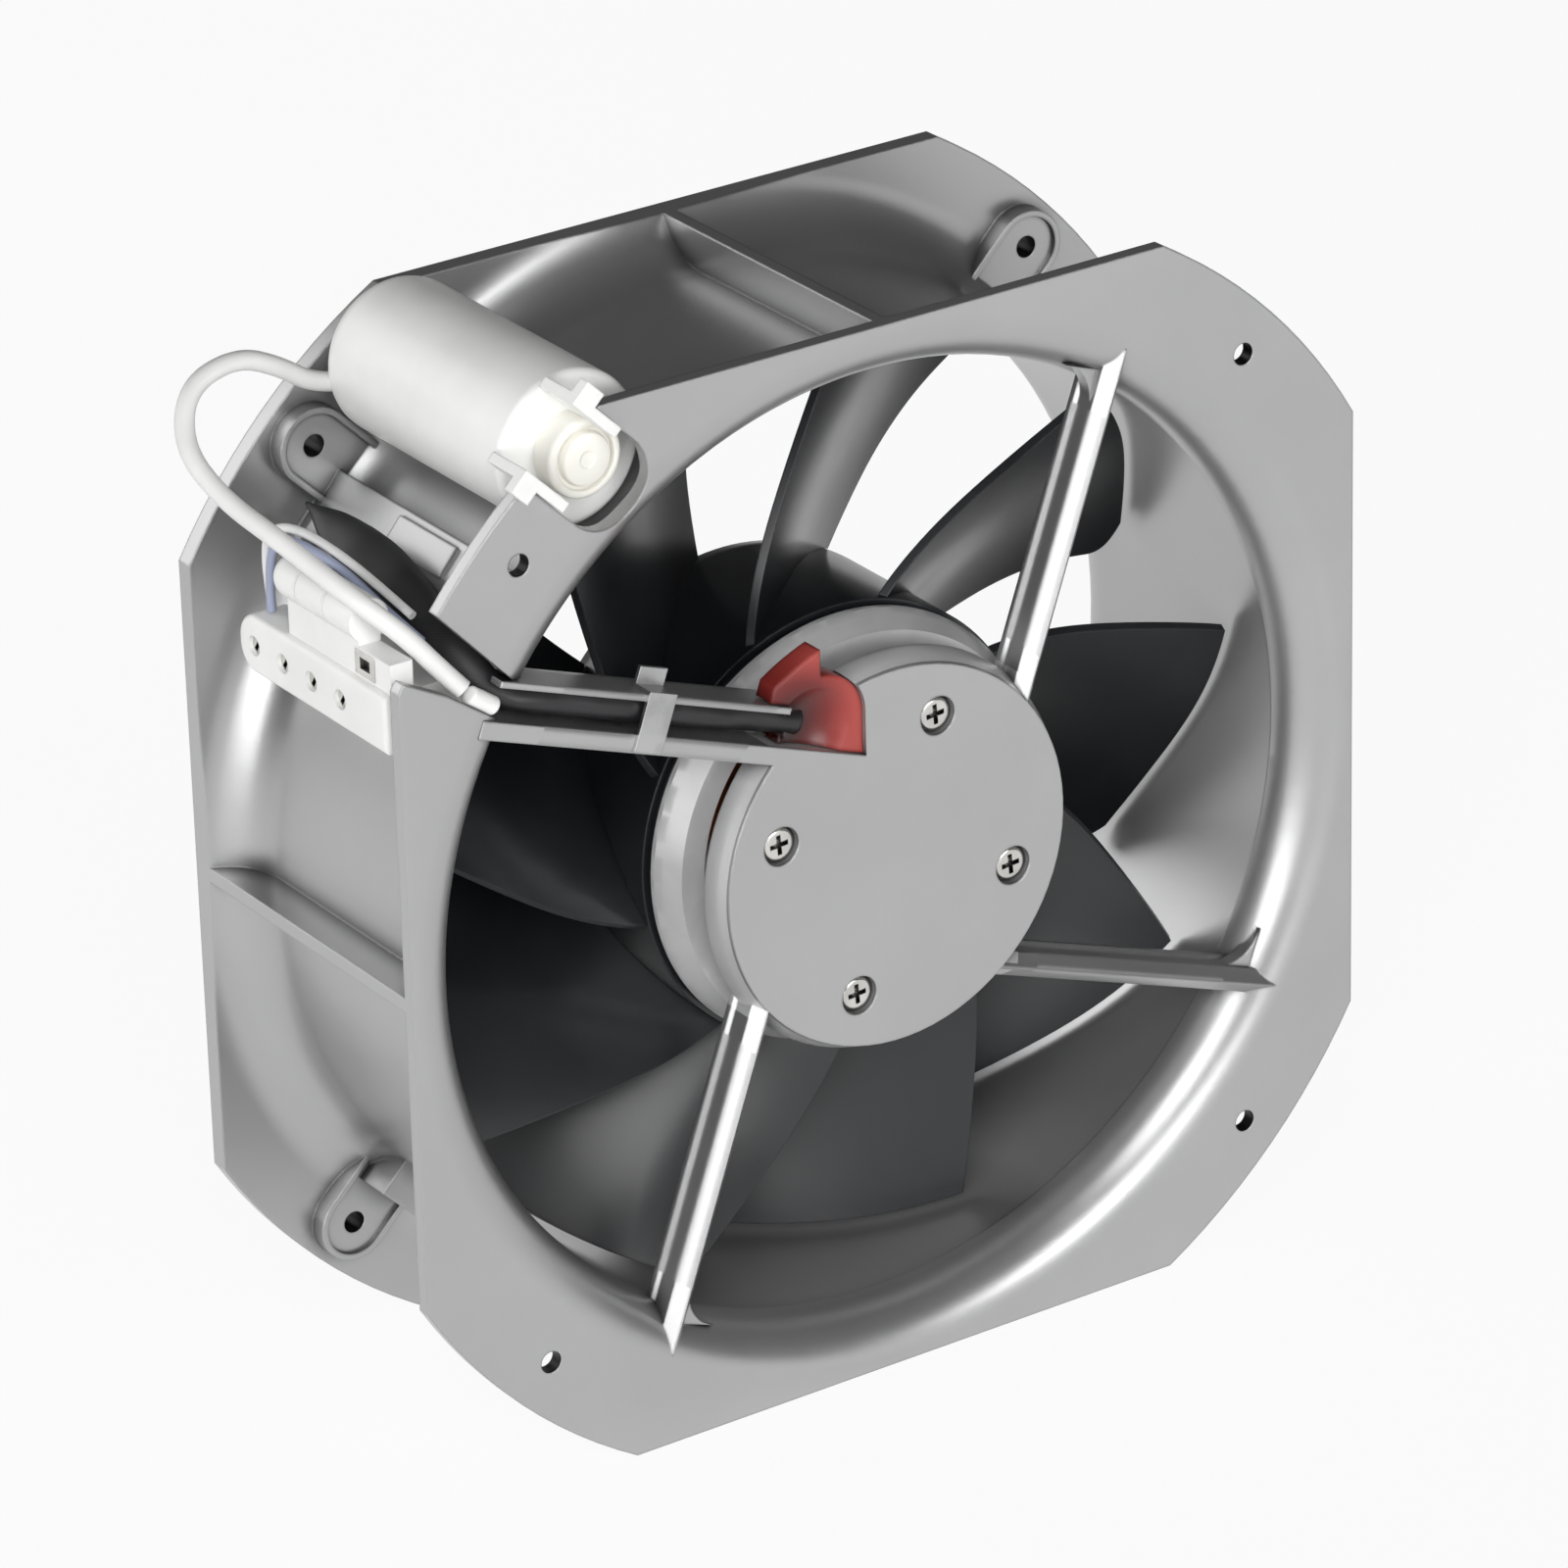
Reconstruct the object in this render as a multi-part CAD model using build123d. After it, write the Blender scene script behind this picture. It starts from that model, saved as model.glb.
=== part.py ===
from build123d import *
import math
import os

os.makedirs("parts", exist_ok=True)

# Housing casting. x is right, z is up and y runs from the front flange face (y = 0) to the rear.
side = 225.0                 # width and height of both flanges
depth = 80.0                 # front flange face to rear flange face
half_side = side / 2
corner_r = half_side + 17.8  # arc that rounds the flange corners
front_flange_t = 3.0
rear_flange_t = 4.0
bore_r = half_side - 11.5    # air duct round the blades
wall_t = 3.0                 # duct wall
bell_r = 11.0                # rounding of the front edge of the duct
bell_step = 0.8              # the rounded mouth ends in an edge this far inside the duct wall
rear_mouth_r = bore_r + 5.0  # the duct where it leaves the rear flange
rear_mouth_len = 11.0        # how far in front of the rear face it starts to widen
flare_r = 14.0               # outer rounding between duct wall and rear flange
rib_t = 3.0                  # web in the middle of each side
hole_pitch = side - 55.0     # mounting holes, centre to centre
hole_r = 2.25
boss_r = 8.0                 # raised pad round each rear hole
boss_h = 3.0
boss_rim_t = 1.3             # raised edge of that pad
boss_rim_h = 0.9
foot_w = 9.0                 # small block beside each lower rear pad
foot_h = 12.0
pillar_angle = 139.5         # flat web under the capacitor, between the flanges
pillar_w = 16.0
pillar_h = 7.6               # its height above the duct wall
strip_w = 6.5                # raised strips on that web
strip_h = 0.9
strip_len = 20.0
stop_t = 2.2                 # small upright bar beside the rear pad
stop_h = 4.0

# Front flange corner that carries the capacitor and lets the cables through
slot_r = 9.75                # half width of the capacitor slot
slot_x, slot_z = -(half_side - 47.4), half_side - 15.8
gap_bend_x, gap_bend_z = 11.0, 50.1        # bend of the cable slot's lower edge, from the flange corner
gap_edge_x, gap_edge_z = 1.4, 44.9         # its rounded outer end, from the flange corner
tab_x, tab_z = 9.3, 33.1                   # lower corner of the tab with the hole, from the flange corner
tab_slope = 0.9
gap_margin = 3.0

# Hub plate and spokes
hub_r = 42.0
hub_face_r = hub_r - 2.0
hub_bevel = 4.5
hub_t = 6.0
first_spoke = 70.0           # direction of the first spoke, the other three follow a quarter turn apart
spoke_offset = 21.3          # spokes pass beside the centre by this much
spoke_w = 5.0
spoke_depth = 9.0
spoke_ridge = 2.5            # height of the pointed front edge
bead_w = 0.7                 # thicker rear edge of a spoke
bead_h = 2.0
spoke_tip = bore_r + 8.0     # radius where the pointed front edge ends on the flange
root_fillet = 8.5            # hook shaped root of a spoke at the duct wall
root_inset = 2.6             # how far the spokes and hooks reach into the wall
tip_depth = 3.6
duct_low = 16.2              # cable duct: outer face of the lower wall
duct_low_t = 3.7
duct_high = 28.0             # outer face of the upper wall
duct_high_t = 1.3
duct_floor = 9.0             # depth of the channel
duct_floor_t = 1.8
duct_high_start = hub_r - 6.0   # the upper wall starts this far along the spoke
notch_x = -7.0               # right edge of the opening for the cable grommet
notch_top = hub_r + 1.3
notch_round = 9.8
screw_ring_r = 29.3
screw_r = 2.0
screw_head_r = 3.6
screw_head_h = 2.2
screw_len = 8.0
recess_len = 4.2             # cross recess of a hub screw
recess_w = 1.0
recess_turn = 25.0
counterbore_r = screw_head_r + 0.5
counterbore_depth = 3.0

# Motor with its rotor outside the stator
stator_flange_r = 35.0
stator_flange_t = 4.5
tube_r = 13.5                # bearing tube that carries the stator
stator_r = 36.0
rotor_core_t = 6.5
stator_front = 23.0
stator_len = 26.0
slot_count = 12
slot_in_r = 20.0
slot_out_r = 31.5
slot_w = 6.0
slot_mouth = 2.0
slot_clearance = 0.3
insulator_t = 1.2
coil_overhang = 5.5
air_gap = 0.4
rotor_ring_r = stator_r + air_gap + rotor_core_t   # back iron of the rotor, also the inside of the cup
cup_t = 1.5
cup_rear = 60.0
cup_floor_t = 2.5
cage_front = 13.0
cage_lip_r = rotor_ring_r + 2.5
cage_lip_len = 5.4
cage_ring_in_r = stator_r + 1.2

# Ball bearings, shaft and what holds them
shaft_r = 4.0
shaft_gap = 0.6              # free end of the shaft to the hub plate
bearing_r = 11.0
bearing_w = 7.0
front_bearing_y = 8.6
rear_bearing_y = 45.0
ball_count = 7
ball_r = 1.98
ball_pitch_r = 7.5
ball_clearance = 0.06
inner_land_r = 6.1
outer_land_r = 8.9
cage_t = 0.6
cage_w = 3.2
cage_rim = 1.2               # unbroken edge of the ball cage
shoulder_r = 9.4
spring_t = 1.2
ring_t = 0.8                 # retaining ring on the shaft's free end
ring_r = 5.6
ring_groove = 0.5
rotor_boss_r = 5.7

# Impeller
blade_count = 9
blade_tip_r = bore_r - 2.0
blade_t = 1.8
blade_ring_r = rotor_ring_r + cup_t + 1.9
blade_ring_front = 21.2
blade_first = 8.1            # direction of the front corner of the first blade's tip
tip_front_y, tip_rear_y = 24.0, 60.0
root_front_y, root_rear_y = 22.5, 58.0
tip_span = 37.0              # angle that the blade covers at its tip
root_lead = 25.6             # the front edge at the hub runs this far ahead of its tip
root_lag = 8.5               # the rear edge at the hub runs this far ahead of its tip
blade_camber = 0.05          # bulge of a blade, as a share of its depth
tip_corner = 9.0             # rounding of the rear corner of the tip

# Capacitor in the upper left corner
cap_x, cap_z = slot_x - 1.9, slot_z + 4.1
cap_r = 16.0
cap_front, cap_rear = 9.0, 69.0
cap_rear_round = 5.0
cap_neck_r = 8.6
cap_plug_r = 9.0
cap_plug_front = -2.5
cap_button_r = 4.8
cap_button_h = 1.4
lug_w = 4.0
lug_t = 2.2
lug_len = 13.0
lug_rise = 2.4

# Terminal block on the left side of the duct
block_out = half_side - 0.3   # outer face, measured from the fan axis
block_t = 8.5
block_front, block_rear = 6.0, 59.0
block_low, block_high = 51.0, 63.0
row_front, row_rear = 17.0, 47.0
row_z = 74.0
row_r = 4.4
hump_count = 3
neck_t = 5.0
neck_high = 69.2
hump_groove = 0.7
term_count = 4
term_first_y, term_pitch = 22.0, 10.4
term_z = 59.5
term_bore_r = 2.0
term_recess = 0.9            # the screws sit this far inside the block
window_front, window_rear = 11.5, 18.5
window_low, window_high = 63.6, 68.6
block_foot_low, block_foot_high = 52.5, 60.0
block_foot_front, block_foot_rear = 12.0, 50.0
clamp_t = 2.6
screw_z = term_z - 2.5
screw_places = [term_first_y + i * term_pitch for i in range(term_count)]
window_y, window_z = (window_front + window_rear) / 2, (window_low + window_high) / 2

# Cables. Their free parts are given from the upper left corner of the front flange.
cable_r = 2.9
cable_y = 4.7
wire_r = 0.9
lead_r = 2.0
grommet_front = 0.8
grommet_dish_r = 14.0        # hollow front of the grommet round the cable
grommet_dish_y = 3.8
grommet_gap = 0.3
grommet_rim = 4.5            # how far the grommet stands out past the hub plate
grommet_lap = 5.0
clip_w = 6.5
clip_t = 0.9
clip_hook = 4.4
clip_leg = 5.0
clip_at = 68.0               # clip position along the spoke
ferrule_r = 1.9
ferrule_len = 7.0
ferrule_turn = 36.0
boot_r = 3.6                 # black boot where the lead enters the capacitor
boot_x, boot_z = -6.4, -3.0
boot_gap = 0.4


def from_corner(points):
    return [(-half_side + x, y, half_side - z) for x, y, z in points]


ferrule_at = from_corner([(19.1, 1.6, 53.5)])[0]
sleeve_run = [(23.9, 5.3, 54.9), (17.9, 12.0, 47.1), (16.5, 25.0, 42.5), (17.0, 40.0, 39.0), (20.5, 56.0, 37.4)]
lead_run = [
    (15.5, 2.2, 50.5), (12.3, 4.6, 46.5), (7.7, 9.2, 39.9), (0.3, 16.5, 32.3), (-2.4, 34.0, 27.4),
    (-6.0, 52.0, 22.5), (-7.0, 63.6, 15.4), (-1.8, 69.5, 6.6), (10.2, 71.2, 4.0), (20.0, 72.0, 8.6),
    (28.0, 72.5, 14.6), (35.0, 72.5, 15.6),
]
wire_runs = [
    [(14.1, 14.0, 44.3), (12.4, 24.0, 41.0), (9.6, 33.0, 35.4), (5.4, 40.5, 31.6), (4.4, 47.6, 32.0),
     (4.5, 53.5, 38.5), (4.5, 53.0, 49.2)],
    [(14.2, 17.0, 40.2), (12.4, 28.0, 36.2), (9.4, 37.0, 32.2), (6.4, 45.0, 29.8), (5.2, 52.0, 31.6),
     (5.6, 57.0, 38.5), (5.6, 54.5, 49.1)],
]


# Shapes drawn on the front face, x to the right and z up, reaching from depth y0 to depth y1
def slab(sketch, y0, y1):
    return extrude(Plane.XZ.offset(-y0) * sketch, amount=y1 - y0, dir=(0, 1, 0))


def tube(r_in, r_out, y0, y1):
    sketch = Circle(r_out)
    if r_in > 0:
        sketch -= Circle(r_in)
    return slab(sketch, y0, y1)


# A profile of radius against depth, turned about the fan axis
def turned(*points):
    return revolve(make_face(Polyline(*points, close=True)), Axis.Y)


def turn_about_axis(shape, angle):
    return Rot(0, -angle, 0) * shape


def polar(radius, angle):
    return (radius * math.cos(math.radians(angle)), radius * math.sin(math.radians(angle)))


# A point of the front face, given along a spoke's direction and to its clockwise side
def beside(angle, along, offset):
    ux, uz = polar(1, angle)
    return (along * ux + offset * uz, along * uz - offset * ux)


def corner_radii(points):
    radii = []
    for a, b, c in zip(points, points[1:], points[2:]):
        before = Vector(b) - Vector(a)
        after = Vector(c) - Vector(b)
        turn = math.radians(before.get_angle(after))
        radii.append(0.45 * min(before.length, after.length) / math.tan(turn / 2))
    return radii


# A round cord along straight runs joined by tangent arcs
def cord(name, points, radius):
    radii = corner_radii(points)
    print(name, "bend radii", [round(r, 1) for r in radii])
    path = FilletPolyline(*points, radius=radii)
    section = Plane(origin=path @ 0, z_dir=path % 0) * Circle(radius)
    solid = sweep(section, path)
    print(name, "volume share", round(solid.volume / (math.pi * radius ** 2 * path.length), 4))
    return solid


hole_ring = [(sx * hole_pitch / 2, sz * hole_pitch / 2) for sx in (-1, 1) for sz in (-1, 1)]
outer_r = bore_r + wall_t
bell_edge_r = bore_r - bell_step
bell_centre_r = bell_edge_r + bell_r
rear_face_in = depth - rear_flange_t
spokes = [first_spoke + 90 * i for i in range(4)]
duct_angle = spokes[1]
outline = Rectangle(side, side) & Circle(corner_r)


def duct_ring():
    flare_x = outer_r + flare_r
    bell = CenterArc((bell_centre_r, bell_r), bell_r, 180, 90)
    bell_back = TangentArc((outer_r, bell_r), (bell_centre_r, front_flange_t), tangent=(0, -1))
    flare = CenterArc((flare_x, rear_face_in - flare_r), flare_r, 90, 90)
    mouth = TangentArc((bore_r, depth - rear_mouth_len), (rear_mouth_r, depth), tangent=(0, 1))
    wall_start = (bore_r, bell_r + bell_step)
    inner = [bell, Line(bell @ 0, wall_start), Line(wall_start, mouth @ 0), mouth]
    outer = [
        Line(mouth @ 1, (flare_x, depth)), Line((flare_x, depth), (flare_x, rear_face_in)),
        flare, Line(flare @ 1, bell_back @ 0), bell_back, Line(bell_back @ 1, bell @ 1),
    ]
    ring = revolve(make_face(Curve() + inner + outer), Axis.Y)
    core = [Line(mouth @ 1, (0, depth)), Line((0, depth), (0, 0)), Line((0, 0), bell @ 1)]
    air = revolve(make_face(Curve() + inner + core), Axis.Y)
    return ring & slab(outline, 0, depth), air


def rear_bosses():
    made = []
    for x, z in hole_ring:
        angle = math.degrees(math.atan2(z, x))
        reach = math.hypot(x, z) - outer_r - 1
        place = Pos(x, z) * Rot(0, 0, angle)
        face_y = rear_face_in - boss_h
        pad = Circle(boss_r) + Pos(-reach / 2, 0) * Rectangle(reach, 2 * boss_r)
        inset = boss_r - boss_rim_t
        hollow = Circle(inset) + Pos(-reach, 0) * Rectangle(2 * reach, 2 * inset)
        made.append(slab(place * pad, face_y, rear_face_in))
        made.append(slab(place * (pad - hollow), face_y - boss_rim_h, face_y + 0.5))
        if z < 0:
            block = place * Pos(-boss_r - foot_w / 2, 0) * Rectangle(foot_w, 1.4 * boss_r)
            made.append(slab(block, rear_face_in - foot_h, rear_face_in))
    return made


# Web that carries the capacitor's corner, with two raised strips and a small stop at its rear end
def pillar_parts():
    turn = Rot(0, 0, pillar_angle)
    top = outer_r + pillar_h
    rear = rear_face_in - boss_h - boss_rim_h
    web = turn * Pos((outer_r + top) / 2 - 1, 0) * Rectangle(pillar_h + 2, pillar_w)
    made = [slab(web, front_flange_t / 2, rear_face_in + 1)]
    low = turn * Pos(top, strip_w / 2) * Rectangle(2 * strip_h, strip_w)
    high = turn * Pos(top, -strip_w / 2) * Rectangle(2 * strip_h, strip_w)
    made.append(slab(low, rear - strip_len, rear - 1))
    made.append(slab(high, rear - 2.2 * strip_len, rear - 1.2 * strip_len))
    stop = turn * Pos(top + stop_h / 2 - 1, strip_w) * Rectangle(stop_h + 2, stop_t)
    made.append(slab(stop, rear - stop_t - 3, rear - 3))
    return made


def ribs():
    reach = side / 2 - bore_r - wall_t / 2
    rib = Pos(side / 2 - reach / 2, 0) * Rectangle(reach, rib_t)
    return [slab(Rot(0, 0, 90 * i) * rib, front_flange_t / 2, depth - rear_flange_t / 2) for i in range(4)]


def plain_spoke(angle):
    start = math.sqrt(hub_face_r ** 2 - spoke_offset ** 2) - 4
    end = math.sqrt(spoke_tip ** 2 - spoke_offset ** 2)
    foot = math.sqrt((bore_r + root_inset - 0.2) ** 2 - spoke_offset ** 2)
    half = spoke_w / 2
    wide = half + bead_w
    section = make_face(Polyline(
        (-half, spoke_ridge), (0, 0), (half, spoke_ridge), (half, spoke_depth - bead_h),
        (wide, spoke_depth - bead_h + bead_w), (wide, spoke_depth), (-wide, spoke_depth),
        (-wide, spoke_depth - bead_h + bead_w), (-half, spoke_depth - bead_h), close=True))
    x, z = beside(angle, start, spoke_offset)
    ux, uz = polar(1, angle)
    plane = Plane(origin=(x, 0, z), x_dir=(uz, 0, -ux), z_dir=(ux, 0, uz))
    bar = extrude(plane * section, amount=foot - start, dir=(ux, 0, uz))
    arrow = make_face(Polyline(
        (-half, spoke_ridge), (0, 0), (half, spoke_ridge), (half, tip_depth), (-half, tip_depth), close=True))
    tip = extrude(plane.offset(foot - start - 6) * arrow, amount=end - foot + 6, dir=(ux, 0, uz))
    keep = make_face(Polyline(
        (start, -half - 1), (foot, -half - 1), (end, 0), (foot, half + 1), (start, half + 1), close=True))
    mask = slab(Rot(0, 0, angle) * Pos(0, -spoke_offset) * keep, -1, spoke_depth + 1)
    return [bar, tip & mask]


def hook_root(angle):
    wall = math.sqrt(bore_r ** 2 - spoke_offset ** 2)
    half = spoke_w / 2
    size = root_fillet
    corner = Rectangle(size, size) - Pos(-size / 2, size / 2) * Circle(size)
    web = Pos(wall - size / 2 + root_inset, half + size / 2 - 0.2) * corner
    return slab(Rot(0, 0, angle) * Pos(0, -spoke_offset) * web, spoke_ridge + 1, spoke_depth - bead_h - 0.3)


def duct_parts(angle):
    hub_end = math.sqrt(hub_face_r ** 2 - duct_low ** 2) - 3
    in_wall = outer_r - wall_t / 2
    rim_end = math.sqrt(in_wall ** 2 - duct_low ** 2)
    high_end = math.sqrt(in_wall ** 2 - duct_high ** 2)
    on_flange = bell_centre_r - 2
    low_tip = math.sqrt(on_flange ** 2 - (duct_low + duct_low_t) ** 2)
    high_tip = math.sqrt(on_flange ** 2 - duct_high ** 2)

    def bar(a0, a1, off0, off1, y0, y1):
        shape = Pos((a0 + a1) / 2, -(off0 + off1) / 2) * Rectangle(a1 - a0, off1 - off0)
        return slab(Rot(0, 0, angle) * shape, y0, y1)

    bottom = duct_floor + duct_floor_t
    low_in = duct_low + duct_low_t
    low = bar(hub_end, rim_end, duct_low, low_in, 0, bottom)
    low_end = bar(rim_end - 1, low_tip, duct_low, low_in, 0, tip_depth)
    high = bar(duct_high_start, high_end, duct_high - duct_high_t, duct_high, 0, bottom)
    high_end_bar = bar(high_end - 1, high_tip, duct_high - duct_high_t, duct_high, 0, tip_depth)
    floor = bar(duct_high_start, high_end, duct_low, duct_high, duct_floor, bottom)
    return [low, low_end, high, high_end_bar, floor]


# Outline of the opening for the cable grommet, its upper right corner rounded, moved inwards by a gap
def notch_outline(gap):
    far = 2 * hub_r
    right = notch_x - gap
    low = duct_low + duct_low_t + gap
    shape = Polygon((right, beside_z(right, low)), (right, notch_top - gap), (-far, notch_top - gap),
                    (-far, beside_z(-far, low)), align=None)
    corner = shape.vertices().sort_by(lambda v: -v.X - v.Y)[0]
    return fillet(corner, notch_round)


def hub_plate():
    plate = turned((0, 0), (hub_face_r, 0), (hub_r, hub_bevel), (hub_r, hub_t), (0, hub_t))
    return plate - slab(notch_outline(0), -1, hub_t + 1)


# The z of the line beside the cable spoke at a given x
def beside_z(x, offset):
    ux, uz = polar(1, duct_angle)
    return (offset - x * uz) / -ux


def flange_cuts():
    slot = Pos(slot_x, slot_z) * Rot(0, 0, 135) * (Circle(slot_r) + Pos(side / 4, 0) * Rectangle(side / 2, 2 * slot_r))
    low, high = duct_low + duct_low_t, duct_high + 0.2
    start = math.sqrt(bell_centre_r ** 2 - high ** 2) - bell_r - gap_margin
    bend = start + 3 * gap_margin
    low_edge = [
        beside(duct_angle, start, low), beside(duct_angle, bend, low),
        (gap_bend_x - half_side, half_side - gap_bend_z), (gap_edge_x - half_side, half_side - gap_edge_z),
        (-half_side, half_side - gap_edge_z - gap_edge_x), (-side, half_side - gap_edge_z - gap_edge_x)]
    corner_x, corner_z = tab_x - half_side, half_side - tab_z
    high_edge = [
        (-side, corner_z + (side + corner_x) * tab_slope), (corner_x, corner_z),
        beside(duct_angle, bend, high), beside(duct_angle, start, high)]
    gap = Polygon(*(low_edge + high_edge), align=None)
    return [slab(slot, -1, front_flange_t + 2), slab(gap, -1, duct_floor)]


def housing():
    plate = outline - Circle(bell_centre_r)
    back = outline - Circle((rear_mouth_r + outer_r + flare_r) / 2)
    ring, air = duct_ring()
    body = ring + slab(plate, 0, front_flange_t) + slab(back, rear_face_in, depth)
    for rib in ribs():
        body += rib
    for boss in rear_bosses():
        body += boss
    for piece in pillar_parts():
        body += piece
    body -= air
    for cut in flange_cuts():
        body -= cut
    for angle in spokes:
        if angle != duct_angle:
            for piece in plain_spoke(angle) + [hook_root(angle)]:
                body += piece
    for piece in duct_parts(duct_angle):
        body += piece
    body += hub_plate()
    for x, z in hole_ring:
        body -= slab(Pos(x, z) * Circle(hole_r), -1, depth + 1)
    for angle in spokes:
        place = Pos(*polar(screw_ring_r, angle))
        body -= slab(place * Circle(screw_r), -1, hub_t + 1)
        body -= slab(place * Circle(counterbore_r), -1, counterbore_depth)
    return body


def hub_screws():
    made = []
    for angle in spokes:
        place = Pos(*polar(screw_ring_r, angle))
        head_y = counterbore_depth - screw_head_h
        head = fillet(slab(place * Circle(screw_head_r), head_y, counterbore_depth).edges().group_by(Axis.Y)[0], 0.9)
        arm = Rectangle(recess_len, recess_w) + Rectangle(recess_w, recess_len)
        head -= slab(place * Rot(0, 0, angle + recess_turn) * arm, head_y - 1, head_y + recess_w + 0.2)
        made.append(head + slab(place * Circle(screw_r), counterbore_depth - 0.1, counterbore_depth + screw_len))
    return Compound(made)


def stator_flange():
    front, back = hub_t, hub_t + stator_flange_t
    body = tube(0, stator_flange_r, front, back)
    body += tube(0, tube_r, front, rear_bearing_y + bearing_w)
    body -= tube(0, shoulder_r, front - 1, rear_bearing_y + bearing_w + 1)
    body -= tube(0, bearing_r, front - 1, front_bearing_y + bearing_w)
    body -= tube(0, bearing_r, rear_bearing_y - spring_t, rear_bearing_y + bearing_w + 1)
    for angle in spokes:
        place = Pos(*polar(screw_ring_r, angle))
        body += slab(place * Circle(2 * screw_r), back - 0.5, counterbore_depth + screw_len)
        body -= slab(place * Circle(screw_r), front - 1, counterbore_depth + screw_len)
    return body


# One lamination slot: a pocket and a narrow mouth to the air gap
def slot_shape(extra):
    pocket = Pos((slot_in_r + slot_out_r) / 2, 0) * Rectangle(slot_out_r - slot_in_r - 2 * extra, slot_w - 2 * extra)
    return fillet(pocket.vertices(), 1.2)


def stator_core():
    sketch = Circle(stator_r) - Circle(tube_r)
    for i in range(slot_count):
        turn = Rot(0, 0, 360 / slot_count * (i + 0.5))
        sketch -= turn * slot_shape(0)
        sketch -= turn * Pos((slot_out_r + stator_r) / 2, 0) * Rectangle(stator_r - slot_out_r + 2, slot_mouth)
    return slab(sketch, stator_front, stator_front + stator_len)


def insulator(y0):
    sketch = Circle(slot_out_r + 2) - Circle(tube_r)
    for i in range(slot_count):
        sketch -= Rot(0, 0, 360 / slot_count * (i + 0.5)) * slot_shape(0)
    return slab(sketch, y0, y0 + insulator_t)


def stator_winding():
    front = stator_front - insulator_t
    back = stator_front + stator_len + insulator_t
    r_in, r_out = slot_in_r + slot_clearance, slot_out_r - slot_clearance
    heads = []
    for y0 in (front - coil_overhang, back):
        head = tube(r_in, r_out, y0, y0 + coil_overhang)
        heads.append(fillet(head.edges().filter_by(GeomType.CIRCLE), 1.8))
    body = heads[0] + heads[1]
    for i in range(slot_count):
        turn = Rot(0, 0, 360 / slot_count * (i + 0.5))
        body += slab(turn * slot_shape(slot_clearance), front - 2, back + 2)
    return body


def rotor_core():
    return tube(stator_r + air_gap, rotor_ring_r, stator_front - 2, stator_front + stator_len + 1)


# Cast ring that closes the rotor's bars at the front, with the bright lip that shows beside the hub plate
def rotor_end_ring():
    lip_y = cage_front + cage_lip_len
    back = stator_front - 2
    return turned((cage_ring_in_r, cage_front), (rotor_ring_r - 0.4, cage_front), (cage_lip_r, lip_y),
                  (cage_lip_r, lip_y + 1.2), (rotor_ring_r, lip_y + 2.2), (rotor_ring_r, back), (cage_ring_in_r, back))


def rotor_cup():
    r_out = rotor_ring_r + cup_t
    front = cage_front + cage_lip_len + 2.4
    floor_y = cup_rear - cup_floor_t
    body = tube(rotor_ring_r, r_out, front, cup_rear)
    body += tube(0, r_out, floor_y, cup_rear)
    body += tube(0, 2 * rotor_boss_r, floor_y - 4, floor_y + 1)
    body += tube(0, rotor_boss_r, rear_bearing_y + bearing_w, floor_y)
    body -= tube(0, shaft_r, 0, depth)
    return body


def blade_ring():
    r_in = rotor_ring_r + cup_t
    return turned((r_in, blade_ring_front), (blade_ring_r, blade_ring_front), (blade_ring_r, cup_rear - 4),
                  (blade_ring_r - 0.9, cup_rear), (r_in, cup_rear))


# The point of a blade at radius r and at share s of the way from its front edge to its rear edge
def blade_point(r, s):
    u = (r - blade_ring_r) / (blade_tip_r - blade_ring_r)
    front = blade_first + root_lead * (1 - u) - 3.0 * math.sin(math.pi * u)
    rear = blade_first - tip_span + root_lag * (1 - u) + 2.0 * math.sin(math.pi * u)
    y0 = root_front_y + (tip_front_y - root_front_y) * u
    y1 = root_rear_y + (tip_rear_y - root_rear_y) * u
    short = max(0.0, r - (blade_tip_r - tip_corner)) / tip_corner
    share = s * (1 - (1 - math.sqrt(max(0.0, 1 - short ** 2))) * tip_corner / (blade_tip_r * math.radians(tip_span)))
    angle = math.radians(front + (rear - front) * share)
    y = y0 + (y1 - y0) * (share - blade_camber * math.sin(2 * math.pi * share) * 0.5)
    return Vector(r * math.cos(angle), y, r * math.sin(angle))


def first_blade():
    inner = blade_ring_r - 1.5
    radii = [inner + (blade_tip_r - inner) * (i / 10) ** 0.8 for i in range(11)]
    grid = [[blade_point(r, j / 8) for j in range(9)] for r in radii]
    face = Face.make_surface_from_array_of_points(grid)
    plate = thicken(face, amount=blade_t / 2, both=True)
    return plate - tube(0, blade_ring_r, 0, depth)


def bearing_ring(r_in, r_out, y0):
    middle = y0 + bearing_w / 2
    ring = chamfer(tube(r_in, r_out, y0, y0 + bearing_w).edges(), 0.3)
    groove = Pos(0, middle, 0) * Rot(90, 0, 0) * Torus(ball_pitch_r, ball_r + ball_clearance)
    return ring - groove


def bearing_balls(y0):
    places = [polar(ball_pitch_r, 360 / ball_count * i) for i in range(ball_count)]
    return Compound([Pos(x, y0 + bearing_w / 2, z) * Sphere(ball_r) for x, z in places])


def bearing_cage(y0):
    middle = y0 + bearing_w / 2
    cage = tube(ball_pitch_r - cage_t / 2, ball_pitch_r + cage_t / 2, middle - cage_w / 2, middle + cage_w / 2)
    cage += tube(ball_pitch_r - cage_t, ball_pitch_r + cage_t, middle + cage_w / 2, middle + cage_w / 2 + cage_rim)
    pocket = Pos(ball_pitch_r, middle, 0) * Rot(0, 90, 0) * Cylinder(ball_r + ball_clearance, 6 * cage_t)
    for i in range(ball_count):
        cage -= turn_about_axis(pocket, 360 / ball_count * i)
    return cage


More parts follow.
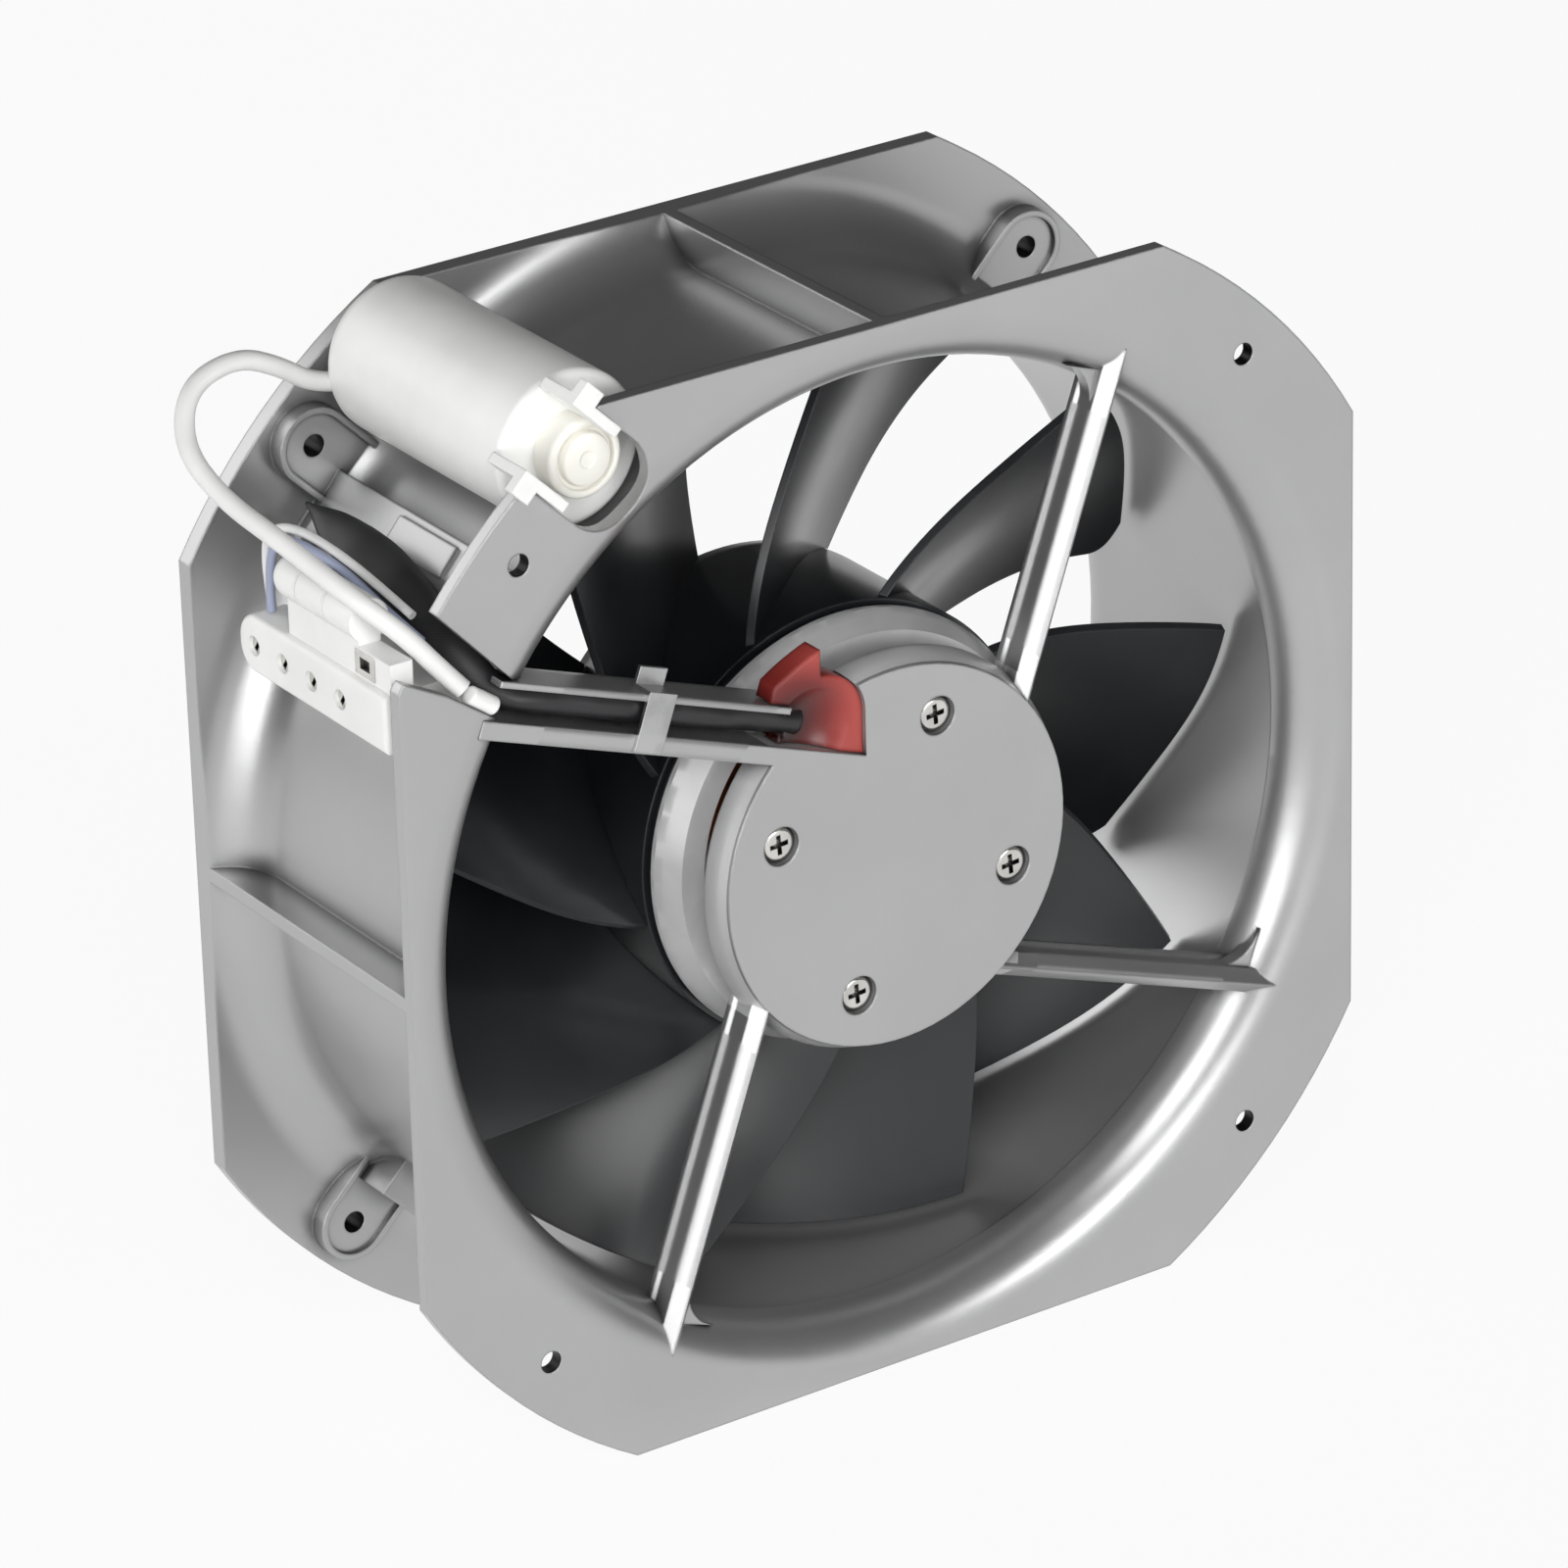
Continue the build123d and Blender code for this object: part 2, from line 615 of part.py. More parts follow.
def retaining_ring():
    ring = Circle(ring_r) - Circle(shaft_r - ring_groove) - Pos(ring_r / 2, 0) * Rectangle(ring_r, 3.0)
    return slab(ring, front_bearing_y - ring_t, front_bearing_y)


def shaft():
    body = tube(0, shaft_r, hub_t + shaft_gap, cup_rear)
    return body - tube(shaft_r - ring_groove, 2 * shaft_r, front_bearing_y - ring_t, front_bearing_y)


def capacitor_can():
    place = Pos(cap_x, cap_z)
    body = slab(place * Circle(cap_r), cap_front, cap_rear)
    body = fillet(body.edges().group_by(Axis.Y)[-1], cap_rear_round)
    body = fillet(body.edges().group_by(Axis.Y)[0], 1.5)
    body += slab(Pos(slot_x, slot_z) * Circle(cap_neck_r), front_flange_t, cap_front + 1)
    return body


def capacitor_plug():
    place = Pos(slot_x, slot_z)
    plug = slab(place * Circle(cap_plug_r), cap_plug_front, front_flange_t)
    plug = fillet(plug.edges().group_by(Axis.Y)[0], 1.2)
    rim = slab(place * (Circle(cap_plug_r - 1.6) - Circle(cap_button_r + 1.0)), cap_plug_front - 1, cap_plug_front + 0.9)
    plug -= rim
    plug += slab(place * Circle(cap_button_r), cap_plug_front - cap_button_h, cap_plug_front + 1)
    return plug


def capacitor_lugs():
    made = []
    for turn in (-1, 1):
        along = Pos(slot_x, slot_z) * Rot(0, 0, 135)
        grip = along * Pos(cap_plug_r + lug_len / 2 - 3, turn * (slot_r - lug_t / 2 - 0.1)) * Rectangle(lug_len, lug_t)
        hook = along * Pos(cap_plug_r + lug_len / 2 + 1, turn * (slot_r + 0.8)) * Rectangle(lug_w + 1, lug_t + 2)
        made.append(slab(grip, -lug_rise, cap_front) + slab(hook, -lug_rise, 0))
    return Compound(made)


def terminal_block():
    left = -block_out
    right = left + block_t
    middle = (left + right) / 2
    y_mid, y_len = (block_front + block_rear) / 2, block_rear - block_front
    z_mid, z_len = (block_low + block_high) / 2, block_high - block_low
    strip = Pos(middle, y_mid, z_mid) * Box(block_t, y_len, z_len)
    strip = fillet(strip.edges().filter_by(Axis.X).group_by(Axis.Y)[-1], z_len / 2 - 0.5)
    strip = fillet(strip.edges().group_by(Axis.X)[0], 1.2)
    row_len = row_rear - row_front
    row = Pos(middle, row_front + row_len / 2, row_z) * Rot(90, 0, 0) * Cylinder(row_r, row_len)
    row = fillet(row.edges().group_by(Axis.Y)[-1], row_r - 0.6)
    body = strip + row
    ring = Rot(90, 0, 0) * (Cylinder(row_r + 1, hump_groove) - Cylinder(row_r - hump_groove, hump_groove))
    for i in range(1, hump_count):
        body -= Pos(middle, row_front + i * row_len / hump_count, row_z) * ring
    neck_end = row_rear - row_r
    body += Pos(middle, (block_front + neck_end) / 2, (block_high + neck_high) / 2 - 0.5) * Box(
        neck_t, neck_end - block_front, neck_high - block_high + 1)
    body += Pos(middle, (row_front + neck_end) / 2, (neck_high + row_z) / 2 - 0.5) * Box(
        neck_t, neck_end - row_front, row_z - neck_high + 1)
    foot_len, foot_h_z = block_foot_rear - block_foot_front, block_foot_high - block_foot_low
    inner = math.sqrt(outer_r ** 2 - block_foot_high ** 2) - 8
    foot = Pos((right - inner) / 2 - 1, (block_foot_front + block_foot_rear) / 2,
               (block_foot_low + block_foot_high) / 2) * Box(-inner - right + 2, foot_len, foot_h_z)
    body += foot - tube(0, outer_r, 0, depth)
    for y in screw_places:
        body -= Pos(left, y, screw_z) * Rot(0, 90, 0) * Cylinder(term_bore_r, block_t)
    body -= Pos(left, window_y, window_z) * Box(block_t, window_rear - window_front, window_high - window_low)
    return body


def terminal_screws():
    made = []
    slot_len = 2 * term_bore_r - 0.8
    head_t = block_t / 2 - term_recess
    for y in screw_places:
        screw = Pos(term_recess + head_t / 2 - block_out, y, screw_z) * Rot(0, 90, 0) * Cylinder(term_bore_r, head_t)
        made.append(screw - Pos(term_recess - block_out, y, screw_z) * Rot(35, 0, 0) * Box(2, recess_w, slot_len))
    return Compound(made)


def terminal_clamp():
    wide, high = window_rear - window_front - 0.1, window_high - window_low - 0.1
    cage = Pos(block_t / 2 - clamp_t / 2 - block_out, window_y, window_z) * Box(clamp_t, wide, high)
    return cage - Pos(block_t / 2 - clamp_t - block_out, window_y, window_z) * Box(clamp_t, wide / 2, high / 2)


# The red grommet fills the notch, reaches past the hub's edge and lies over the end of the duct's upper wall
def cable_grommet(sleeve):
    edge_r = hub_r + grommet_rim
    lap_r = edge_r + grommet_lap
    low_side = duct_low + duct_low_t + grommet_gap
    ahead = Pos(duct_high_start - grommet_gap - side / 2, -low_side - side / 2) * Rectangle(side, side)
    above = Pos(duct_high_start - grommet_gap, -duct_high - grommet_gap - side / 2) * Rectangle(2 * grommet_lap, side)
    turn = Rot(0, 0, duct_angle)
    sketch = notch_outline(grommet_gap) & Circle(edge_r) & (turn * ahead)
    lobe = Circle(lap_r) & (turn * (ahead + above)) & Polygon(
        (notch_x - notch_round, notch_top - 2), (notch_x - notch_round, side), (-side, side), (-side, notch_top - side),
        (-hub_r / 2, hub_r / 2), align=None)
    body = slab(sketch + (lobe - Circle(hub_r - 2)), grommet_front, hub_t)
    along = duct_high_start - grommet_dish_r / 2
    dish_x, dish_z = beside(duct_angle, along, (duct_low + duct_low_t + duct_high) / 2)
    body -= Pos(dish_x, grommet_dish_y - grommet_dish_r, dish_z) * Sphere(grommet_dish_r)
    return body - sleeve


def cable_clip():
    top = duct_high + clip_t
    low = duct_low + 0.5
    strap = Pos(clip_at, -(low + top) / 2) * Rectangle(clip_w, top - low)
    side_leg = Pos(clip_at, -(duct_high + clip_t / 2)) * Rectangle(clip_w, clip_t)
    hook = Pos(clip_at, -(duct_high + clip_hook / 2)) * Rectangle(clip_w, clip_hook)
    turn = Rot(0, 0, duct_angle)
    return slab(turn * strap, -clip_t, 0) + slab(turn * side_leg, -clip_t, clip_leg) + slab(
        turn * hook, clip_leg - clip_t, clip_leg)


# Black boot that takes the lead into the capacitor's rear end
def capacitor_boot():
    body = slab(Pos(cap_x + boot_x, cap_z + boot_z) * Circle(boot_r), cap_rear, rear_face_in - boot_gap)
    return fillet(body.edges().group_by(Axis.Y)[-1], 1.2)


def tie_ferrule():
    body = Pos(*ferrule_at) * Rot(0, 90 + ferrule_turn, 0) * Cylinder(ferrule_r, ferrule_len)
    return fillet(body.edges(), 0.7)


cable_offset = (duct_low + duct_low_t + duct_high - duct_high_t) / 2
duct_run = []
for along in (duct_high_start - 2, duct_high_start + 53):
    x, z = beside(duct_angle, along, cable_offset)
    duct_run.append((x, cable_y, z))

parts = {
    "housing": housing(),
    "hub_screws": hub_screws(),
    "stator_flange": stator_flange(),
    "stator_core": stator_core(),
    "front_insulator": insulator(stator_front - insulator_t),
    "rear_insulator": insulator(stator_front + stator_len),
    "stator_winding": stator_winding(),
    "rotor_core": rotor_core(),
    "rotor_end_ring": rotor_end_ring(),
    "rotor_cup": rotor_cup(),
    "blade_ring": blade_ring(),
    "shaft": shaft(),
    "retaining_ring": retaining_ring(),
    "preload_spring": tube(shoulder_r + 0.3, bearing_r, rear_bearing_y - spring_t, rear_bearing_y),
    "capacitor_can": capacitor_can(),
    "capacitor_plug": capacitor_plug(),
    "capacitor_lugs": capacitor_lugs(),
    "capacitor_boot": capacitor_boot(),
    "terminal_block": terminal_block(),
    "terminal_screws": terminal_screws(),
    "terminal_clamp": terminal_clamp(),
    "cable_clip": cable_clip(),
    "capacitor_lead": cord("capacitor_lead", from_corner(lead_run), lead_r),
    "motor_cable": cord("motor_cable", duct_run + from_corner(sleeve_run), cable_r),
    "phase_wires": Compound([cord("phase_wires", from_corner(run), wire_r) for run in wire_runs]),
    "tie_ferrule": tie_ferrule(),
}
parts["cable_grommet"] = cable_grommet(parts["motor_cable"])

for place, y0 in (("front", front_bearing_y), ("rear", rear_bearing_y)):
    parts[place + "_bearing_inner"] = bearing_ring(shaft_r, inner_land_r, y0)
    parts[place + "_bearing_outer"] = bearing_ring(outer_land_r, bearing_r, y0)
    parts[place + "_bearing_balls"] = bearing_balls(y0)
    parts[place + "_bearing_cage"] = bearing_cage(y0)

blade = first_blade()
for i in range(blade_count):
    parts["blade_" + str(i + 1)] = turn_about_axis(blade, 360 / blade_count * i)

for name, shape in parts.items():
    export_step(shape, "parts/" + name + ".step")
print(len(parts), "nodes")
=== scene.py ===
import bmesh
import bpy
import math
import numpy as np
from mathutils import Matrix, Vector


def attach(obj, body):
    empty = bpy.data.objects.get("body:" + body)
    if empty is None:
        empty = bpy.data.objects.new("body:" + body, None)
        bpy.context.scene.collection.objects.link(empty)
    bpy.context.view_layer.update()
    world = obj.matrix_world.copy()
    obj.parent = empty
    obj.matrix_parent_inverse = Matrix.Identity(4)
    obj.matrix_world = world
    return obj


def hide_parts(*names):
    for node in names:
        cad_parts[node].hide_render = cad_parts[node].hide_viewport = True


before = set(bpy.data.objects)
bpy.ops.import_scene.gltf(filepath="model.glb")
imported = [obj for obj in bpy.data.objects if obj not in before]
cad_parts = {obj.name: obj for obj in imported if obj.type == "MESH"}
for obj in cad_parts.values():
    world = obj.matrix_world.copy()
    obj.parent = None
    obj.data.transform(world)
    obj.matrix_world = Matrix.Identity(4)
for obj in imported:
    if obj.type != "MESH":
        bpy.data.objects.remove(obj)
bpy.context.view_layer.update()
print("frame loaded:", len(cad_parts), "nodes")

fanView = {
    "position": (-0.861492, -1.248346, 0.725658),
    "right": (0.824522, -0.565295, -0.024583),
    "up": (0.258018, 0.336962, 0.905474),
    "lens": 196.628,
    "sensor": 36.0,
    "farEnd": 50.0,
}


# The photograph's camera: its right and up directions are given, and its back is their cross product
def makeCamera():
    data = bpy.data.cameras.new("fanCamera")
    data.lens = fanView["lens"]
    data.sensor_width = fanView["sensor"]
    data.clip_end = fanView["farEnd"]
    camera = bpy.data.objects.new("fanCamera", data)
    bpy.context.scene.collection.objects.link(camera)
    right = Vector(fanView["right"]).normalized()
    back = right.cross(Vector(fanView["up"])).normalized()
    up = back.cross(right)
    turn = Matrix((right, up, back)).transposed()
    camera.matrix_world = Matrix.Translation(fanView["position"]) @ turn.to_4x4()
    bpy.context.scene.camera = camera


makeCamera()
print("camera set")


# Small helpers for node materials
def startMaterial(name):
    material = bpy.data.materials.new(name)
    material.use_nodes = True
    return material, material.node_tree.nodes["Principled BSDF"]


def addNode(material, kind, settings=None, **values):
    node = material.node_tree.nodes.new(kind)
    for key, value in (settings or {}).items():
        setattr(node, key, value)
    for key, value in values.items():
        node.inputs[key.replace("_", " ")].default_value = value
    return node


def join(material, outSocket, inSocket):
    material.node_tree.links.new(outSocket, inSocket)


def objectPoints(material):
    return addNode(material, "ShaderNodeTexCoord").outputs["Object"]


# Joins a socket to another node's output, or gives it a fixed value
def feed(material, socket, value):
    if isinstance(value, bpy.types.NodeSocket):
        join(material, value, socket)
    else:
        socket.default_value = value


# One operation on a value, with numbers or sockets as its further values
def valueStep(material, operation, value, *others):
    node = addNode(material, "ShaderNodeMath", {"operation": operation})
    join(material, value, node.inputs[0])
    for place, other in enumerate(others, 1):
        feed(material, node.inputs[place], other)
    return node.outputs[0]


# One operation on a point, with an optional fixed second point
def pointStep(material, operation, point, other=None, output="Vector"):
    node = addNode(material, "ShaderNodeVectorMath", {"operation": operation})
    join(material, point, node.inputs[0])
    if other:
        node.inputs[1].default_value = other
    return node.outputs[output]


# How far a point lies from the fan axis: the length of (x, 0, z)
def axisDistance(material, point):
    return pointStep(material, "LENGTH", pointStep(material, "MULTIPLY", point, (1, 0, 1)), output="Value")


# A colour made darker or lighter by a factor that changes over the surface
def scaled(material, colour, factor):
    node = addNode(material, "ShaderNodeVectorMath", {"operation": "SCALE"})
    join(material, colour, node.inputs[0])
    join(material, factor, node.inputs["Scale"])
    return node.outputs["Vector"]


# Runs from low to high while the source runs from one end of the span to the other
def ranged(material, source, low, high, span=(0.0, 1.0)):
    node = addNode(material, "ShaderNodeMapRange", From_Min=span[0], From_Max=span[1], To_Min=low, To_Max=high)
    join(material, source, node.inputs["Value"])
    return node.outputs["Result"]


# Spans are the parts of a pattern's range over which a tone or a roughness changes
patternLook = {
    "cloudDetail": 3.0, "grainDetail": 2.0, "noiseRough": 0.55,
    "roughSpan": (0.3, 0.7), "toneSpan": (0.35, 0.65), "hollowSpan": (0.3, 0.85),
    "hollowSamples": 8, "edgeSamples": 4,
}


def noise(material, points, scale, detail):
    texture = addNode(material, "ShaderNodeTexNoise", Scale=scale, Detail=detail,
                      Roughness=patternLook["noiseRough"])
    join(material, points, texture.inputs["Vector"])
    return texture.outputs["Fac"]


def twoTone(material, source, first, second):
    ramp = addNode(material, "ShaderNodeValToRGB")
    for element, place, tone in zip(ramp.color_ramp.elements, patternLook["toneSpan"], (first, second)):
        element.position = place
        element.color = (*tone, 1)
    join(material, source, ramp.inputs["Fac"])
    return ramp.outputs["Color"]


# A roughness that follows a cloudy pattern
def cloudyRough(material, bsdf, cloud, low, high):
    join(material, ranged(material, cloud, low, high, patternLook["roughSpan"]), bsdf.inputs["Roughness"])


# A surface whose tone and roughness change in clouds, from a darker share of its colour up to the colour itself
def cloudyTone(material, bsdf, look, colour, rough):
    cloud = noise(material, objectPoints(material), look["cloud"], patternLook["cloudDetail"])
    cloudyRough(material, bsdf, cloud, rough, rough + look["roughRise"])
    return twoTone(material, cloud, tuple(look["shade"] * part for part in colour), colour)


# Adds a relief of the given depth and rounds the shading of edges by a radius, a number or a socket
def relief(material, bsdf, source, look, edge=None):
    bump = addNode(material, "ShaderNodeBump", Strength=look["relief"], Distance=look["depth"])
    join(material, source, bump.inputs["Height"])
    if edge:
        bevel = addNode(material, "ShaderNodeBevel", {"samples": patternLook["edgeSamples"]})
        feed(material, bevel.inputs["Radius"], edge)
        join(material, bevel.outputs["Normal"], bump.inputs["Normal"])
    join(material, bump.outputs["Normal"], bsdf.inputs["Normal"])


def grainOf(material, scale):
    return noise(material, objectPoints(material), scale, patternLook["grainDetail"])


# Painted shade: darkens a colour in holes and corners that are narrower than the reach, by ambient occlusion
def hollowTone(material, colour, reach, shade):
    hollow = addNode(material, "ShaderNodeAmbientOcclusion",
                     {"samples": patternLook["hollowSamples"], "only_local": True}, Distance=reach)
    return scaled(material, colour, ranged(material, hollow.outputs["AO"], shade, 1.0, patternLook["hollowSpan"]))


castLook = {
    "dark": (0.44, 0.44, 0.443), "light": (0.465, 0.465, 0.468), "metallic": 0.78,
    "roughLow": 0.30, "roughHigh": 0.36, "cloud": 22.0, "cloudDetail": 4.0,
    "grain": 1500.0, "relief": 0.12, "depth": 0.00012, "edge": 0.0007,
    "hollowReach": 0.007, "hollowShade": 0.12,
    "spokeMiddle": 0.0715, "spokeHalf": 0.0235, "spokeEdge": 0.0022,
    "holeAt": 0.085, "holeReach": 0.00233, "holeWallShade": 0.05,
    "hubEdgeReach": 0.0434, "hubEdgeDepth": 0.0007, "hubEdgeTone": (0.72, 0.72, 0.725), "hubEdgeMetallic": 0.5,
}


# 1 where the point lies within the reach of the fan axis and behind the depth: the turned edge of the hub
def hubEdgeMask(material, look):
    point = objectPoints(material)
    parts = addNode(material, "ShaderNodeSeparateXYZ")
    join(material, point, parts.inputs[0])
    near = valueStep(material, "LESS_THAN", axisDistance(material, point), look["hubEdgeReach"])
    behind = valueStep(material, "GREATER_THAN", parts.outputs["Y"], look["hubEdgeDepth"])
    return valueStep(material, "MULTIPLY", near, behind)


# The edge radius of the casting, larger on the spokes, whose distance from the fan axis lies in one span
def castEdge(material, look):
    away = axisDistance(material, objectPoints(material))
    onSpoke = valueStep(material, "COMPARE", away, look["spokeMiddle"], look["spokeHalf"])
    return ranged(material, onSpoke, look["edge"], look["spokeEdge"])


# 1 on the walls of the mounting holes, which lie equally far to each side, above and below the fan axis; painted
# shade goes there
def holeMask(material, look):
    folded = pointStep(material, "ABSOLUTE", objectPoints(material))
    moved = pointStep(material, "SUBTRACT", folded, (look["holeAt"], 0, look["holeAt"]))
    return valueStep(material, "LESS_THAN", axisDistance(material, moved), look["holeReach"])


def castAluminium():
    look = castLook
    material, bsdf = startMaterial("castAluminium")
    cloud = noise(material, objectPoints(material), look["cloud"], look["cloudDetail"])
    hubEdge = hubEdgeMask(material, look)
    colour = addNode(material, "ShaderNodeMix", {"data_type": "RGBA"})
    join(material, hubEdge, colour.inputs["Factor"])
    join(material, twoTone(material, cloud, look["dark"], look["light"]), colour.inputs["A"])
    colour.inputs["B"].default_value = (*look["hubEdgeTone"], 1)
    # Painted shade: the colour darkens in holes and corners within the hollow reach
    tone = hollowTone(material, colour.outputs["Result"], look["hollowReach"], look["hollowShade"])
    # Painted shade: the walls of the mounting holes darken to a small share of their colour
    holeShadeFactor = ranged(material, holeMask(material, look), 1.0, look["holeWallShade"])
    join(material, scaled(material, tone, holeShadeFactor), bsdf.inputs["Base Color"])
    cloudyRough(material, bsdf, cloud, look["roughLow"], look["roughHigh"])
    metal = ranged(material, hubEdge, look["metallic"], look["hubEdgeMetallic"])
    join(material, metal, bsdf.inputs["Metallic"])
    relief(material, bsdf, grainOf(material, look["grain"]), look, castEdge(material, look))
    return material


paintLook = {
    "dark": (0.006, 0.007, 0.009), "light": (0.01, 0.011, 0.013), "cloud": 30.0,
    "roughLow": 0.3, "roughHigh": 0.38, "coat": 0.3, "coatRough": 0.18,
    "peel": 900.0, "relief": 0.06, "depth": 0.0002, "edge": 0.0005,
}


def blackPaint():
    look = paintLook
    material, bsdf = startMaterial("blackPaint")
    cloud = noise(material, objectPoints(material), look["cloud"], patternLook["cloudDetail"])
    join(material, twoTone(material, cloud, look["dark"], look["light"]), bsdf.inputs["Base Color"])
    cloudyRough(material, bsdf, cloud, look["roughLow"], look["roughHigh"])
    bsdf.inputs["Coat Weight"].default_value = look["coat"]
    bsdf.inputs["Coat Roughness"].default_value = look["coatRough"]
    relief(material, bsdf, grainOf(material, look["peel"]), look, look["edge"])
    return material


turnedLook = {"cloud": 60.0, "shade": 0.86, "roughRise": 0.1, "relief": 0.04, "depth": 0.00002}


# Bright metal with fine marks from turning, as rings round the fan axis
def turnedMetal(name, colour, rough, ringScale=2600.0, metallic=1.0):
    look = turnedLook
    material, bsdf = startMaterial(name)
    rings = addNode(material, "ShaderNodeTexWave", {"wave_type": "RINGS", "rings_direction": "Y"},
                    Scale=ringScale, Distortion=0.0, Detail=0.0)
    join(material, objectPoints(material), rings.inputs["Vector"])
    join(material, cloudyTone(material, bsdf, look, colour, rough), bsdf.inputs["Base Color"])
    bsdf.inputs["Metallic"].default_value = metallic
    relief(material, bsdf, rings.outputs["Fac"], look)
    return material


metalLook = {
    "cloud": 180.0, "shade": 0.8, "roughRise": 0.12, "hollowShade": 0.08,
    "grain": 2500.0, "relief": 0.1, "depth": 0.00005, "edge": 0.00025,
}


def plainMetal(name, colour, rough, hollowReach=0.0):
    look = metalLook
    material, bsdf = startMaterial(name)
    tone = cloudyTone(material, bsdf, look, colour, rough)
    # Painted shade: the colour darkens in holes and corners within the reach
    if hollowReach > 0:
        tone = hollowTone(material, tone, hollowReach, look["hollowShade"])
    join(material, tone, bsdf.inputs["Base Color"])
    bsdf.inputs["Metallic"].default_value = 1.0
    relief(material, bsdf, grainOf(material, look["grain"]), look, look["edge"])
    return material


plasticLook = {
    "cloud": 45.0, "shade": 0.93, "roughRise": 0.12, "throughReach": (0.002, 0.002, 0.0015),
    "relief": 0.1, "depth": 0.0001,
}


# A part of the light passes through the skin of the plastic, as far as the reach
def mouldedPlastic(name, colour, rough, grain=1400.0, edge=0.0005, through=0.0):
    look = plasticLook
    material, bsdf = startMaterial(name)
    join(material, cloudyTone(material, bsdf, look, colour, rough), bsdf.inputs["Base Color"])
    bsdf.inputs["Subsurface Weight"].default_value = through
    bsdf.inputs["Subsurface Radius"].default_value = look["throughReach"]
    relief(material, bsdf, grainOf(material, grain), look, edge)
    return material


grommetLook = {
    # painted shade in the hollow round the cable, the plain red face, and a painted highlight on the rim
    "hollow": (0.02, 0.003, 0.003), "face": (0.16, 0.014, 0.012), "rim": (0.42, 0.06, 0.05),
    "centre": (-0.0235, 0.002, 0.034), "hollowAt": 0.22, "faceAt": 0.62, "rimAt": 0.95, "reach": 0.015,
    "rough": 0.3, "grain": 900.0, "relief": 0.1, "depth": 0.0001, "edge": 0.0012,
}


# Red rubber with painted shade towards the cable and a painted highlight on the rim: the tone follows the
# distance from the cable's way out
def grommetRubber():
    look = grommetLook
    material, bsdf = startMaterial("redRubber")
    away = pointStep(material, "DISTANCE", objectPoints(material), look["centre"], "Value")
    ramp = addNode(material, "ShaderNodeValToRGB")
    ramp.color_ramp.elements[0].position = look["hollowAt"]
    ramp.color_ramp.elements[0].color = (*look["hollow"], 1)
    ramp.color_ramp.elements[1].position = look["rimAt"]
    ramp.color_ramp.elements[1].color = (*look["rim"], 1)
    middle = ramp.color_ramp.elements.new(look["faceAt"])
    middle.color = (*look["face"], 1)
    join(material, ranged(material, away, 0.0, 1.0, (0.0, look["reach"])), ramp.inputs["Fac"])
    join(material, ramp.outputs["Color"], bsdf.inputs["Base Color"])
    bsdf.inputs["Roughness"].default_value = look["rough"]
    relief(material, bsdf, grainOf(material, look["grain"]), look, look["edge"])
    return material


wovenLook = {
    "colour": (0.018, 0.018, 0.02), "rough": 0.38, "cloud": 90.0, "shade": 0.6, "roughRise": 0.17,
    "ribs": 700.0, "ribWaver": 0.6, "relief": 0.12, "depth": 0.0001,
}


# The motor cable's woven sleeve, with fine slanting ribs
def wovenSleeve():
    look = wovenLook
    material, bsdf = startMaterial("blackSleeve")
    ribs = addNode(material, "ShaderNodeTexWave", {"bands_direction": "DIAGONAL"},
                   Scale=look["ribs"], Distortion=look["ribWaver"])
    join(material, objectPoints(material), ribs.inputs["Vector"])
    join(material, cloudyTone(material, bsdf, look, look["colour"], look["rough"]), bsdf.inputs["Base Color"])
    relief(material, bsdf, ribs.outputs["Fac"], look)
    return material


materials = {
    "castAluminium": castAluminium(),
    "blackPaint": blackPaint(),
    "endRing": turnedMetal("turnedAluminium", (0.76, 0.76, 0.765), 0.3, metallic=0.45),
    # the zinc screws get painted shade in their recesses
    "zinc": plainMetal("brightZinc", (0.70, 0.69, 0.66), 0.2, hollowReach=0.0025),
    "bearing": turnedMetal("groundSteel", (0.6, 0.6, 0.61), 0.16, 5000.0),
    "lamination": plainMetal("stackedSheet", (0.22, 0.22, 0.23), 0.4),
    "clip": plainMetal("clipSteel", (0.5, 0.5, 0.505), 0.3),
    "cage": plainMetal("stampedBrass", (0.62, 0.44, 0.18), 0.3),
    "copper": plainMetal("enamelledCopper", (0.6, 0.24, 0.1), 0.3),
    "whitePlastic": mouldedPlastic("whiteMoulding", (0.93, 0.93, 0.915), 0.32, through=0.05),
    "creamPlastic": mouldedPlastic("creamMoulding", (0.9, 0.885, 0.82), 0.34, through=0.05),
    "insulator": mouldedPlastic("insulatorMoulding", (0.72, 0.72, 0.66), 0.45),
    "redRubber": grommetRubber(),
    "whiteWire": mouldedPlastic("whiteSheath", (0.86, 0.86, 0.85), 0.36, 2000.0, 0.0),
    "blueWire": mouldedPlastic("blueSheath", (0.36, 0.40, 0.54), 0.34, 2000.0, 0.0),
    "blackSleeve": wovenSleeve(),
}
print("materials made:", len(materials))

nodeFinish = {
    "housing": "castAluminium", "hub_screws": "zinc", "stator_flange": "castAluminium",
    "stator_core": "lamination", "rotor_core": "lamination", "front_insulator": "insulator",
    "rear_insulator": "insulator",
    "stator_winding": "copper", "rotor_end_ring": "endRing", "rotor_cup": "blackPaint",
    "blade_ring": "blackPaint", "shaft": "bearing", "retaining_ring": "bearing", "preload_spring": "bearing",
    "capacitor_can": "whitePlastic", "capacitor_plug": "whitePlastic", "capacitor_lugs": "whitePlastic",
    "terminal_block": "whitePlastic", "terminal_screws": "zinc", "terminal_clamp": "zinc",
    "cable_clip": "clip", "capacitor_lead": "whiteWire", "phase_wires": "blueWire",
    "motor_cable": "blackSleeve", "tie_ferrule": "whitePlastic", "cable_grommet": "redRubber",
    "capacitor_boot": "blackSleeve",
}

smoothSettings = {"merge": 2e-6, "sharpAngle": 28.0}


